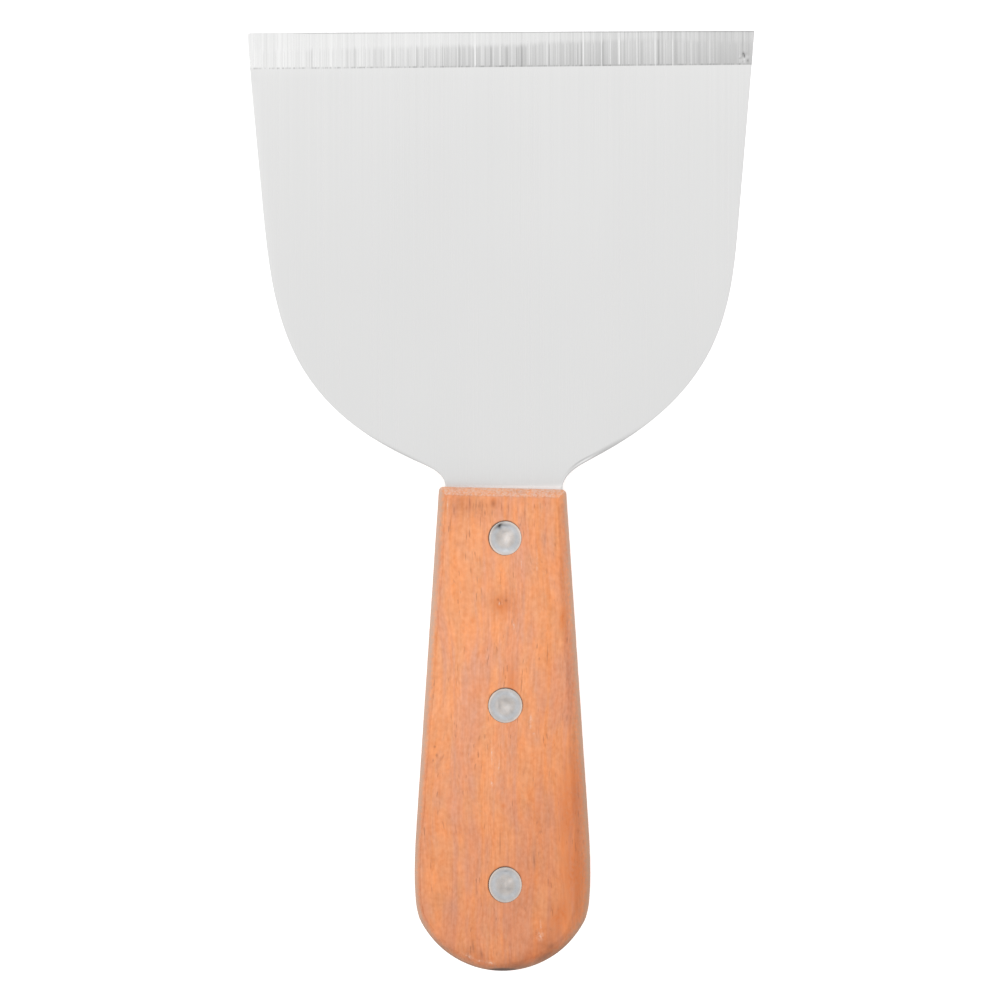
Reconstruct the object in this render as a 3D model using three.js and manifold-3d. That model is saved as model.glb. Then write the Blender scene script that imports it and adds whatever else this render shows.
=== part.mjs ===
// Wide taping knife: a one-piece ground steel blade and full tang, held between two
// wooden scales by three two-part cutlery rivets.
//
// Millimetres. The working edge faces +Y, the butt faces -Y, and the knife lies on its
// back scale with +Z up. Everything is drawn about the middle of the handle's front end,
// and the whole group is moved at the end so that its origin is the centre of its
// bounding box, on the surface that it lies on.

import * as THREE from "three";
import { mergeVertices } from "three/addons/utils/BufferGeometryUtils.js";
import Module from "manifold-3d";

// ---- Driving dimensions -------------------------------------------------------------

const DEGREE = Math.PI / 180;

const BLADE = {
  thickness: 1.2,
  reach: 114.4, // handle's front end to the working edge
  halfWidth: 63.7, // at the working edge
  taper: 5.1 * DEGREE, // each side leans in by this much towards the handle
  shoulderEase: 36.7, // pull of each side's curve along the shoulder
  shoulder: { halfWidth: 22, forward: 7 }, // where that curve meets the straight shoulder
  skew: 0.25 * DEGREE, // the blade is set this far anticlockwise of the handle's axis
  stub: 4, // how far the neck's outline runs back into the tang
};

// The blade is finished by hand, so its two sides differ.
const SIDES = {
  left: {
    cornerRadius: 1.1, // at the working edge
    straightEnds: 73, // forward of the handle, where the straight side turns into the curve
    sideEase: 28, // pull of the curve along the side
    shoulderSlope: 24.5 * DEGREE,
    neckHalfWidth: 14.4,
    blendAlong: 5, // how far the neck's blend reaches up the shoulder from the sharp corner
    blendDown: 3, // and down the neck
  },
  right: {
    cornerRadius: 0.3,
    straightEnds: 65,
    sideEase: 21.2,
    shoulderSlope: 26.9 * DEGREE,
    neckHalfWidth: 15.1,
    blendAlong: 7.5,
    blendDown: 3.4,
  },
};

const BEVEL = { length: 8.6, edgeLand: 0.35 }; // flat grind on the front of the blade

const HANDLE = {
  length: 120.7,
  frontHalfWidth: 15.9,
  frontCorner: 1.2,
  frontSlant: 1.4 * DEGREE, // the front end was cut a little out of square
  taperEnd: { halfWidth: 21.5, back: 84 },
  bellyPulls: [
    { halfWidth: 22.1, back: 93 },
    { halfWidth: 22.4, back: 104.4 },
  ],
  buttRadius: 23,
  buttStart: 20.6, // half-width where the belly meets the butt's arc
};

const SCALE = { thickness: 8, edgeDrop: 2.2, edgeInset: 2.4, edgeSteps: 3 };
const GLUE_LINE = 0.05;
const TANG_PROUD = 0.3; // the tang shows this much past the scales at the butt

const RIVET = {
  stations: { front: 12.55, middle: 54.35, butt: 99.1 }, // back from the handle's front end
  sideways: 0.7, // the row of rivets is this far off the handle's axis
  headRadius: 4.2,
  headThickness: 1.7,
  headBreak: 0.15, // small chamfer round each head
  socketRadius: 2.5,
  pinRadius: 1.6,
  pinLead: 0.5, // chamfer on the pin's tip
  clearance: 0.1, // round each head and socket
  pinClearance: 0.05, // between the pin and the socket's bore
  below: 0.05, // heads sit this far under the wood
  endGap: 0.6, // between the end of one half and the head of the other
};

const SEGMENTS = { curve: 14, round: 36 };

// ---- Sizes that follow ----------------------------------------------------------------

const TANG_FACE = BLADE.thickness / 2;
const SCALE_FACE = TANG_FACE + GLUE_LINE;
const HANDLE_FACE = SCALE_FACE + SCALE.thickness;
const HEAD_FACE = HANDLE_FACE - RIVET.below;
const CUT_PAST = 5; // how far cutting bodies run past what they cut

// ---- Solids ---------------------------------------------------------------------------

const wasm = await Module();
wasm.setup();

function toSolid(geometry) {
  const bare = geometry.clone();
  bare.deleteAttribute("normal");
  bare.deleteAttribute("uv");
  const merged = mergeVertices(bare, 1e-4);
  return new wasm.Manifold(
    new wasm.Mesh({
      numProp: 3,
      vertProperties: merged.attributes.position.array,
      triVerts: new Uint32Array(merged.index.array),
    }),
  );
}

function toGeometry(solid) {
  const mesh = solid.getMesh();
  const geometry = new THREE.BufferGeometry();
  const position = new THREE.BufferAttribute(mesh.vertProperties, mesh.numProp);
  geometry.setAttribute("position", position);
  geometry.setIndex(new THREE.BufferAttribute(mesh.triVerts, 1));
  const faceted = geometry.toNonIndexed();
  faceted.computeVertexNormals();
  return faceted;
}

// A plate with the outline of a shape, between two heights.
function plate(shape, low, high) {
  const geometry = new THREE.ExtrudeGeometry(shape, {
    depth: high - low,
    bevelEnabled: false,
    curveSegments: SEGMENTS.curve,
  });
  return geometry.translate(0, 0, low);
}

// A solid of revolution standing on Z, from [radius, height] pairs listed upwards.
function turned(profile, segments = SEGMENTS.round) {
  const points = profile.map(([radius, height]) => new THREE.Vector2(radius, height));
  return new THREE.LatheGeometry(points, segments).rotateX(Math.PI / 2);
}

function bore(radius, low, high) {
  return turned([
    [0, low],
    [radius, low],
    [radius, high],
    [0, high],
  ]);
}

// ---- Outlines --------------------------------------------------------------------------

// The points that one side of the blade is drawn through, as on the right-hand side. The
// sharp corner is where the shoulder's straight line would meet the neck's.
function sidePoints(side) {
  const { halfWidth, reach, taper, shoulderEase, shoulder, stub } = BLADE;
  const { cornerRadius, straightEnds, sideEase, shoulderSlope } = side;
  const { neckHalfWidth, blendAlong, blendDown } = side;
  const lean = Math.tan(taper);
  const alongSide = new THREE.Vector2(-Math.sin(taper), -Math.cos(taper));
  const alongShoulder = new THREE.Vector2(Math.cos(shoulderSlope), Math.sin(shoulderSlope));
  const straightEnd = new THREE.Vector2(halfWidth - (reach - straightEnds) * lean, straightEnds);
  const shoulderPoint = new THREE.Vector2(shoulder.halfWidth, shoulder.forward);
  const drop = (shoulder.halfWidth - neckHalfWidth) * Math.tan(shoulderSlope);
  const sharp = new THREE.Vector2(neckHalfWidth, shoulder.forward - drop);
  return {
    edgeEnd: new THREE.Vector2(halfWidth - cornerRadius, reach),
    edgeCorner: new THREE.Vector2(halfWidth, reach),
    sideStart: new THREE.Vector2(halfWidth - cornerRadius * lean, reach - cornerRadius),
    straightEnd,
    sidePull: straightEnd.clone().addScaledVector(alongSide, sideEase),
    shoulderPull: shoulderPoint.clone().addScaledVector(alongShoulder, shoulderEase),
    shoulderPoint,
    blendStart: sharp.clone().addScaledVector(alongShoulder, blendAlong),
    sharp,
    blendEnd: new THREE.Vector2(sharp.x, sharp.y - blendDown),
    stubEnd: new THREE.Vector2(neckHalfWidth, -stub),
  };
}

function bladeOutline() {
  const right = sidePoints(SIDES.right);
  const left = sidePoints(SIDES.left);
  const shape = new THREE.Shape();
  shape.moveTo(right.edgeEnd.x, right.edgeEnd.y);
  shape.quadraticCurveTo(
    right.edgeCorner.x, right.edgeCorner.y,
    right.sideStart.x, right.sideStart.y,
  );
  shape.lineTo(right.straightEnd.x, right.straightEnd.y);
  shape.bezierCurveTo(
    right.sidePull.x, right.sidePull.y,
    right.shoulderPull.x, right.shoulderPull.y,
    right.shoulderPoint.x, right.shoulderPoint.y,
  );
  shape.lineTo(right.blendStart.x, right.blendStart.y);
  shape.quadraticCurveTo(right.sharp.x, right.sharp.y, right.blendEnd.x, right.blendEnd.y);
  shape.lineTo(right.stubEnd.x, right.stubEnd.y);
  shape.lineTo(-left.stubEnd.x, left.stubEnd.y);
  shape.lineTo(-left.blendEnd.x, left.blendEnd.y);
  shape.quadraticCurveTo(-left.sharp.x, left.sharp.y, -left.blendStart.x, left.blendStart.y);
  shape.lineTo(-left.shoulderPoint.x, left.shoulderPoint.y);
  shape.bezierCurveTo(
    -left.shoulderPull.x, left.shoulderPull.y,
    -left.sidePull.x, left.sidePull.y,
    -left.straightEnd.x, left.straightEnd.y,
  );
  shape.lineTo(-left.sideStart.x, left.sideStart.y);
  shape.quadraticCurveTo(
    -left.edgeCorner.x, left.edgeCorner.y,
    -left.edgeEnd.x, left.edgeEnd.y,
  );
  return shape;
}

// The handle in plan. inset draws it smaller all round; frontCorner rounds the two
// corners at the front end, or leaves them sharp at 0; proud lengthens the butt.
function handleOutline({ inset = 0, frontCorner = 0, proud = 0 }) {
  const { length, frontHalfWidth, frontSlant, taperEnd } = HANDLE;
  const { bellyPulls, buttRadius, buttStart } = HANDLE;
  const front = frontHalfWidth - inset;
  const frontAt = (x) => -inset - x * Math.tan(frontSlant);
  const taperX = taperEnd.halfWidth - inset;
  const pulls = bellyPulls.map(({ halfWidth }) => halfWidth - inset);
  const centre = -(length + proud - buttRadius);
  const reach = Math.asin(buttStart / buttRadius);
  const radius = buttRadius - inset;
  const meetX = radius * Math.sin(reach);
  const meetY = centre - radius * Math.cos(reach);
  const sideSlope = (taperX - front) / (taperEnd.back - inset);
  const cornerX = front + frontCorner * sideSlope;
  const shape = new THREE.Shape();
  const cornerIn = front - frontCorner;
  shape.moveTo(-cornerIn, frontAt(-cornerIn));
  shape.lineTo(cornerIn, frontAt(cornerIn));
  if (frontCorner > 0) {
    shape.quadraticCurveTo(front, frontAt(front), cornerX, frontAt(front) - frontCorner);
  }
  shape.lineTo(taperX, -taperEnd.back);
  shape.bezierCurveTo(pulls[0], -bellyPulls[0].back, pulls[1], -bellyPulls[1].back, meetX, meetY);
  shape.absarc(0, centre, radius, reach - Math.PI / 2, -reach - Math.PI / 2, true);
  shape.bezierCurveTo(
    -pulls[1], -bellyPulls[1].back,
    -pulls[0], -bellyPulls[0].back,
    -taperX, -taperEnd.back,
  );
  shape.lineTo(-cornerX, frontAt(-front) - frontCorner);
  if (frontCorner > 0) {
    shape.quadraticCurveTo(-front, frontAt(-front), -cornerIn, frontAt(-cornerIn));
  }
  return shape;
}

// ---- Pieces ----------------------------------------------------------------------------

const RIVET_PLACES = Object.entries(RIVET.stations).map(([name, back]) => ({
  name,
  x: RIVET.sideways,
  y: -back,
}));

function cutAtRivets(body, holes) {
  return RIVET_PLACES.reduce(
    (cut, { x, y }) =>
      holes.reduce((rest, hole) => rest.subtract(toSolid(hole.clone().translate(x, y, 0))), cut),
    body,
  );
}

// What the grinding belt takes off the front of the blade.
function bevelCut() {
  const { reach, halfWidth } = BLADE;
  const start = reach - BEVEL.length;
  const slope = (BLADE.thickness - BEVEL.edgeLand) / BEVEL.length;
  const section = new THREE.Shape();
  section.moveTo(start, TANG_FACE);
  section.lineTo(reach + CUT_PAST, TANG_FACE - slope * (BEVEL.length + CUT_PAST));
  section.lineTo(reach + CUT_PAST, TANG_FACE + CUT_PAST);
  section.lineTo(start, TANG_FACE + CUT_PAST);
  const width = 2 * (halfWidth + CUT_PAST);
  const wedge = new THREE.ExtrudeGeometry(section, { depth: width, bevelEnabled: false });
  // The section is drawn in (Y, Z) and runs along X.
  const drawnToPart = new THREE.Matrix4().makeBasis(
    new THREE.Vector3(0, 1, 0),
    new THREE.Vector3(0, 0, 1),
    new THREE.Vector3(1, 0, 0),
  );
  return wedge.translate(0, 0, -width / 2).applyMatrix4(drawnToPart);
}

function bladeAndTang() {
  const outline = plate(bladeOutline(), -TANG_FACE, TANG_FACE);
  const blade = toSolid(outline).subtract(toSolid(bevelCut())).rotate([0, 0, BLADE.skew / DEGREE]);
  const tangShape = handleOutline({ frontCorner: HANDLE.frontCorner, proud: TANG_PROUD });
  const tang = toSolid(plate(tangShape, -TANG_FACE, TANG_FACE));
  const holeRadius = RIVET.socketRadius + RIVET.clearance;
  const hole = bore(holeRadius, -TANG_FACE - CUT_PAST, TANG_FACE + CUT_PAST);
  return cutAtRivets(blade.add(tang), [hole]);
}

// One scale, lying on the front of the tang, with its outer edges eased.
function scale() {
  const { edgeInset, edgeDrop, edgeSteps } = SCALE;
  const easedShape = handleOutline({ inset: edgeInset });
  const eased = new THREE.ExtrudeGeometry(easedShape, {
    depth: 2 * (HANDLE_FACE - edgeDrop),
    bevelThickness: edgeDrop,
    bevelSize: edgeInset,
    bevelSegments: edgeSteps,
    curveSegments: SEGMENTS.curve,
  }).translate(0, 0, edgeDrop - HANDLE_FACE);
  const roundedShape = handleOutline({ frontCorner: HANDLE.frontCorner });
  const rounded = plate(roundedShape, SCALE_FACE, HANDLE_FACE + CUT_PAST);
  const block = toSolid(eased).intersect(toSolid(rounded));
  const shankHole = bore(RIVET.socketRadius + RIVET.clearance, 0, HANDLE_FACE + CUT_PAST);
  const seat = HEAD_FACE - RIVET.headThickness - RIVET.clearance;
  const headHole = bore(RIVET.headRadius + RIVET.clearance, seat, HANDLE_FACE + CUT_PAST);
  return cutAtRivets(block, [shankHole, headHole]);
}

// A rivet's head, as the last points of a turned profile, from shank to top centre.
function headProfile(shankRadius) {
  const { headRadius, headThickness, headBreak } = RIVET;
  return [
    [shankRadius, HEAD_FACE - headThickness],
    [headRadius, HEAD_FACE - headThickness],
    [headRadius, HEAD_FACE - headBreak],
    [headRadius - headBreak, HEAD_FACE],
    [0, HEAD_FACE],
  ];
}

// The solid half, driven in from the front.
function rivetPin() {
  const { pinRadius, pinLead, headThickness, endGap } = RIVET;
  const tip = -HEAD_FACE + headThickness + endGap;
  return turned([[0, tip], [pinRadius - pinLead, tip], [pinRadius, tip + pinLead]]
    .concat(headProfile(pinRadius)));
}

// The tubular half, which takes the pin. It is drawn head up and turned over in place.
function rivetSocket() {
  const { socketRadius, pinRadius, pinClearance, headThickness, endGap } = RIVET;
  const mouth = -HEAD_FACE + headThickness + endGap;
  const boreRadius = pinRadius + pinClearance;
  const floor = HEAD_FACE - headThickness;
  return turned([[0, floor], [boreRadius, floor], [boreRadius, mouth], [socketRadius, mouth]]
    .concat(headProfile(socketRadius)));
}

// ---- Materials -------------------------------------------------------------------------

const steel = new THREE.MeshStandardMaterial({ color: 0xdededc, metalness: 1, roughness: 0.34 });
const wood = new THREE.MeshStandardMaterial({ color: 0xe89a66, metalness: 0, roughness: 0.62 });
const aluminium = new THREE.MeshStandardMaterial({ color: 0xb9b7b4, metalness: 1, roughness: 0.45 });

// ---- Assembly --------------------------------------------------------------------------

const knife = new THREE.Group();

function add(name, geometry, material, parent = knife) {
  const mesh = new THREE.Mesh(geometry, material);
  mesh.name = name;
  parent.add(mesh);
  return mesh;
}

const scaleSolid = scale();
add("blade_and_tang", toGeometry(bladeAndTang()), steel);
add("front_scale", toGeometry(scaleSolid), wood);
add("back_scale", toGeometry(scaleSolid.mirror([0, 0, 1])), wood);

for (const { name, x, y } of RIVET_PLACES) {
  const rivet = new THREE.Group();
  rivet.position.set(x, y, 0);
  add(`${name}_rivet_pin`, rivetPin(), aluminium, rivet);
  add(`${name}_rivet_socket`, rivetSocket(), aluminium, rivet).rotation.x = Math.PI;
  knife.add(rivet);
}

// The origin goes to the centre of the bounding box, on the back scale's outer face.
const bounds = new THREE.Box3().setFromObject(knife, true);
const centre = bounds.getCenter(new THREE.Vector3());
knife.position.set(-centre.x, -centre.y, HANDLE_FACE);

export default knife;
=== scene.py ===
import math

import bpy
import numpy as np
from mathutils import Euler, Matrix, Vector
from mathutils import geometry as plane_geometry


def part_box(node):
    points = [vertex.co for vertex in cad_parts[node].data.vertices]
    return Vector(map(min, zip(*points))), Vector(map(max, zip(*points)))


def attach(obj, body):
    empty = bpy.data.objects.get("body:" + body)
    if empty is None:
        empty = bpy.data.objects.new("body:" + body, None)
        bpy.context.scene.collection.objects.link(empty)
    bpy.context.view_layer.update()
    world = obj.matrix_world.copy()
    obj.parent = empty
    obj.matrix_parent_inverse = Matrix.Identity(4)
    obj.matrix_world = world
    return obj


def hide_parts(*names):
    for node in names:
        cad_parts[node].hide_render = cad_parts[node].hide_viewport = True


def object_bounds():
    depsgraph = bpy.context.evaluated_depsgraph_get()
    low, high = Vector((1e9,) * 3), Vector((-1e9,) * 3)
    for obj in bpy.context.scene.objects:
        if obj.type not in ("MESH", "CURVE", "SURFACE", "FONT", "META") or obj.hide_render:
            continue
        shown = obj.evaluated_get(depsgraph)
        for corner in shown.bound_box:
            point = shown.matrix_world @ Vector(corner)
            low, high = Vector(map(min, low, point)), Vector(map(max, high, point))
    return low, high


# The taping knife's looks. Lengths here are in millimetres, in the handle's own frame: its
# origin is the middle of the handle's front end, +Y runs towards the working edge and Z is
# the row frame's. place() turns them into metres in the row frame.

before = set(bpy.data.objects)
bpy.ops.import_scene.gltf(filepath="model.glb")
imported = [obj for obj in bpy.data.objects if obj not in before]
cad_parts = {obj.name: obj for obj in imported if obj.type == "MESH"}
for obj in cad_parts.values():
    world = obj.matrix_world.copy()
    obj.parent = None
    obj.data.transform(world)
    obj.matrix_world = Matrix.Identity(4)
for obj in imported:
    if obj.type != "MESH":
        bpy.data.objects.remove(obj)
cad_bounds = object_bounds()

MM = 0.001
SCALE_LOW, SCALE_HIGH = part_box("front_scale")
BACK_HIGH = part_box("back_scale")[1]
STEEL_LOW, STEEL_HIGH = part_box("blade_and_tang")
HANDLE_LENGTH = 120.7
AXIS_X = (SCALE_LOW.x + SCALE_HIGH.x) / 2
FRONT_Y = SCALE_LOW.y + HANDLE_LENGTH * MM

REACH = (STEEL_HIGH.y - FRONT_Y) / MM
STEEL_BOTTOM, STEEL_TOP = STEEL_LOW.z / MM, STEEL_HIGH.z / MM

rng = np.random.default_rng(20250611)  # for the grinding lines and the pits


def place(points):
    """Points in the handle's frame, in millimetres, as metres in the row frame."""
    points = np.asarray(points, float) * MM
    return points + np.array([AXIS_X, FRONT_Y, 0])


def smoothstep(low, high, x):
    t = np.clip((x - low) / (high - low), 0, 1)
    return t * t * (3 - 2 * t)


def rolling(position, seed, wavelength):
    """Smooth random values of about -1 to 1 along a line, the same each time for a seed."""
    local = np.random.default_rng(seed)
    total = np.zeros_like(np.asarray(position, float))
    for octave in range(3):
        length = wavelength / 1.9**octave
        phase, stretch = local.uniform(0, 2 * math.pi), local.uniform(0.85, 1.15)
        total += np.sin(position / (length * stretch) * 2 * math.pi + phase) * 0.6**octave
    return total / 1.6


# ---- Curves ---------------------------------------------------------------------------------


def line(a, b, count):
    t = np.linspace(0, 1, count + 1)[1:, None]
    return np.asarray(a) * (1 - t) + np.asarray(b) * t


def bend(a, b, c, count, start=0.0):
    t = np.linspace(start, 1, count + 1)[1:, None]
    return (1 - t) ** 2 * a + 2 * t * (1 - t) * b + t**2 * c


def bezier(a, b, c, d, count):
    t = np.linspace(0, 1, count + 1)[1:, None]
    return (1 - t) ** 3 * a + 3 * t * (1 - t) ** 2 * b + 3 * t**2 * (1 - t) * c + t**3 * d


def loop_normals(loop):
    """Outward normals of a closed loop that runs clockwise seen from +Z."""
    along = np.roll(loop, -1, 0) - np.roll(loop, 1, 0)
    normal = np.stack([-along[:, 1], along[:, 0]], 1)
    return normal / np.linalg.norm(normal, axis=1)[:, None]


# ---- Meshes ---------------------------------------------------------------------------------


class Shape:
    """Vertices and faces of one closed piece, gathered before they become a mesh. Marks are
    values on the vertices that the materials read."""

    def __init__(self):
        self.vertices, self.faces, self.marks = [], [], {}

    def add(self, points, **marks):
        start = sum(len(v) for v in self.vertices)
        points = np.asarray(points, float)
        self.vertices.append(points)
        for name in sorted(set(marks) | set(self.marks)):
            before = self.marks.get(name, np.zeros(start))
            value = np.broadcast_to(marks.get(name, 0.0), len(points))
            self.marks[name] = np.concatenate([before, value])
        return np.arange(start, start + len(points))

    def face(self, *corners):
        self.faces.append(tuple(int(c) for c in corners))

    def skin(self, ring_a, ring_b):
        """Quads between two closed rings of the same length."""
        for i in range(len(ring_a)):
            j = (i + 1) % len(ring_a)
            self.face(ring_a[i], ring_a[j], ring_b[j], ring_b[i])

    def skins(self, rings):
        for ring_a, ring_b in zip(rings, rings[1:]):
            self.skin(ring_a, ring_b)

    def turn_over(self, start, end=None):
        """Turns round the faces added from one count to another."""
        self.faces[start:end] = [f[::-1] for f in self.faces[start:end]]

    def points(self):
        return np.concatenate(self.vertices)


SMOOTH_ANGLE = math.radians(30)


def finish_shape(shape, name, material):
    mesh = bpy.data.meshes.new(name)
    mesh.from_pydata(place(shape.points()), [], shape.faces)
    for mark, values in shape.marks.items():
        attribute = mesh.attributes.new(mark, "FLOAT", "POINT")
        attribute.data.foreach_set("value", np.asarray(values, np.float32))
    mesh.materials.append(material)
    mesh.polygons.foreach_set("use_smooth", [True] * len(mesh.polygons))
    mesh.set_sharp_from_angle(angle=SMOOTH_ANGLE)
    mesh.update()
    outward(mesh)
    piece = bpy.data.objects.new(name, mesh)
    bpy.context.scene.collection.objects.link(piece)
    return piece


def outward(mesh):
    """Makes every face point out, from the sign of the closed mesh's volume."""
    mesh.calc_loop_triangles()
    spots = np.zeros(len(mesh.vertices) * 3)
    mesh.vertices.foreach_get("co", spots)
    corners = spots.reshape(-1, 3)[[t.vertices[:] for t in mesh.loop_triangles]]
    a, b, c = corners[:, 0], corners[:, 1], corners[:, 2]
    if np.einsum("ij,ij->i", a, np.cross(b, c)).sum() < 0:
        mesh.flip_normals()


def circle(count):
    """A unit circle that runs clockwise seen from +Z."""
    turn = -np.linspace(0, 2 * math.pi, count, endpoint=False)
    return np.stack([np.cos(turn), np.sin(turn)], 1)


def blot(points, x, y, across, along, turn=0.0):
    """1 at a spot and fading to 0 round it, over an ellipse that may be turned in degrees."""
    a = math.radians(turn)
    dx, dy = points[:, 0] - x, points[:, 1] - y
    u, v = dx * math.cos(a) + dy * math.sin(a), dy * math.cos(a) - dx * math.sin(a)
    return np.exp(-((u / across) ** 2) - (v / along) ** 2)


# How a flat face is filled, in millimetres and in shares of the spacing or of a detail's size.
ROW_SPACING = 0.866
JITTER = 0.12
BORDER_GAP, DETAIL_GAP = 0.45, 0.1
DETAIL_REACH = 2.3


def fill_plane(shape, outer, holes, spacing=None, seed=0, details=()):
    """Fills a flat region between a clockwise outer ring and the rings of its holes, facing
    up. With a spacing it gets inner points, closer together round the details."""
    points = shape.points()
    rings = [outer, *holes]
    fixed = np.concatenate([points[r][:, :2] for r in rings])
    ids = np.concatenate(rings)
    edges, start = [], 0
    for r in rings:
        edges += [(start + i, start + (i + 1) % len(r)) for i in range(len(r))]
        start += len(r)
    middles = [points[r][:, :2].mean(0) for r in holes]
    radii = [np.linalg.norm(points[r][:, :2] - m, axis=1).max() for r, m in zip(holes, middles)]
    extra = np.zeros((0, 2))
    if spacing:
        local = np.random.default_rng(seed)

        def grid(low, high, wide, deep):
            xs, ys = np.arange(low[0], high[0], wide), np.arange(low[1], high[1], deep)
            spots = np.array([(x + (i % 2) * wide / 2, y) for i, y in enumerate(ys) for x in xs])
            return spots + local.uniform(-JITTER, JITTER, spots.shape) * [wide, deep]

        coarse = grid(fixed.min(0), fixed.max(0), spacing, spacing * ROW_SPACING)
        gaps = np.full(len(coarse), BORDER_GAP * spacing)
        done = []
        for x, y, across, along in details:
            reach = np.array([DETAIL_REACH * across, DETAIL_REACH * along])
            off = np.abs(coarse - [x, y]) < reach + DETAIL_GAP
            coarse, gaps = coarse[~off.all(1)], gaps[~off.all(1)]
            wide, deep = max(0.45 * across, 0.11), 0.4 * min(along, 0.6)
            near = grid([x, y] - reach, [x, y] + reach, wide, deep)
            if done:
                apart = [np.abs((near - spot) / far).max(1) > 1 for spot, far in done]
                near = near[np.all(apart, axis=0)]
            done.append(([x, y], reach))
            extra = np.vstack([extra, near])
        gaps = np.concatenate([gaps, np.full(len(extra), DETAIL_GAP)])
        extra = np.vstack([coarse, extra])
        keep = inside(extra, points[outer][:, :2])
        for part in np.array_split(np.arange(len(extra)), 24):
            gap = np.linalg.norm(extra[part][:, None] - fixed[None], axis=2).min(1)
            keep[part] &= gap > gaps[part]
        for m, radius in zip(middles, radii):
            keep &= np.linalg.norm(extra - m, axis=1) > radius
        extra = extra[keep]
    flat = [Vector(p) for p in np.vstack([fixed, extra])]
    _, _, faces, origins, _, _ = plane_geometry.delaunay_2d_cdt(flat, edges, [], 1, 1e-6)
    height = np.full(len(extra), points[outer][:, 2].mean())
    ids = np.concatenate([ids, shape.add(np.column_stack([extra, height]))])
    hole_of = {int(i): number for number, r in enumerate(holes) for i in r}
    for f in faces:
        corners = [int(ids[origins[i][0]]) for i in f]
        across_hole = {hole_of.get(c, -1) for c in corners}
        if len(across_hole) > 1 or across_hole == {-1}:
            shape.face(*corners)


def inside(points, loop):
    """Which of the points lie inside a closed loop."""
    x, y = points[:, 0][:, None], points[:, 1][:, None]
    a, b = loop, np.roll(loop, -1, 0)
    crosses = (a[:, 1] > y) != (b[:, 1] > y)
    rise = np.where(b[:, 1] == a[:, 1], 1e-12, b[:, 1] - a[:, 1])
    at = a[:, 0] + (y - a[:, 1]) * (b[:, 0] - a[:, 0]) / rise
    return (crosses & (x < at)).sum(1) % 2 == 1


# ---- The rivets' places ---------------------------------------------------------------------

RIVETS = {}
for name in ("front", "middle", "butt"):
    low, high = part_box(f"{name}_rivet_pin")
    RIVETS[name] = (((low.x + high.x) / 2 - AXIS_X) / MM, ((low.y + high.y) / 2 - FRONT_Y) / MM)
HEAD_RADIUS = (high.x - low.x) / 2 / MM
HEAD_FACE = high.z / MM
HEAD_THICKNESS = 1.7
HOLE_CLEARANCE = 0.06
HOLE_ASIDE = np.array([-0.03, 0.035])
SHANK_HOLE = 2.6
HOLE_SEGMENTS = 72
# The heads are a little oval from being ground flush by hand: across and along the handle.
OVAL = {"front": (0.965, 1.01), "middle": (1.01, 1.02), "butt": (0.985, 1.055)}

# ---- The blade and tang ---------------------------------------------------------------------

SKEW = math.radians(0.25)
HALF_WIDTH = 63.7
TAPER = math.radians(5.1)
BEVEL_LENGTH, BEVEL_LEAN = 8.95, 0.0048
EDGE_LAND = 0.35
SHOULDER_EASE = 36.7
SHOULDER = (22.0, 7.0)
SIDES = {
    "left": dict(
        corner=1.1, straight_ends=73, ease=28, slope=24.5, neck=14.4, along=5.0, down=2.9,
    ),
    "right": dict(
        corner=0.3, straight_ends=65, ease=21.2, slope=26.9, neck=15.1, along=7.5, down=3.4,
    ),
}
HANDLE_FRONT = 15.9
FRONT_CORNER = 1.2
FRONT_SLANT = math.radians(1.4)
SIGN = {"left": -1, "right": 1}
TAPER_END = (21.5, 84.0)
BELLY_PULLS = ((22.1, 93.0), (22.4, 104.4))
BUTT_RADIUS = 23.0
BUTT_START = 20.6
TANG_PROUD = (SCALE_LOW.y - STEEL_LOW.y) / MM

EDGE_COLUMNS, FACE_COLUMNS, TANG_COLUMNS = 1296, 54, 18
CORNER_ROWS, BEVEL_ROWS, LIP_ROWS = 6, 28, 2
LAST_BEVEL = CORNER_ROWS + BEVEL_ROWS + LIP_ROWS
LIP = 0.3
REACH_TRUE = REACH - HALF_WIDTH * math.sin(SKEW)  # before the blade is turned


def bevel_start(x):
    """Where the bevel begins. It was ground a little longer towards the left."""
    return REACH_TRUE - BEVEL_LENGTH + BEVEL_LEAN * x


def front_at(x):
    """The handle's front end, which is cut a little out of square."""
    return -x * math.tan(FRONT_SLANT)


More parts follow.
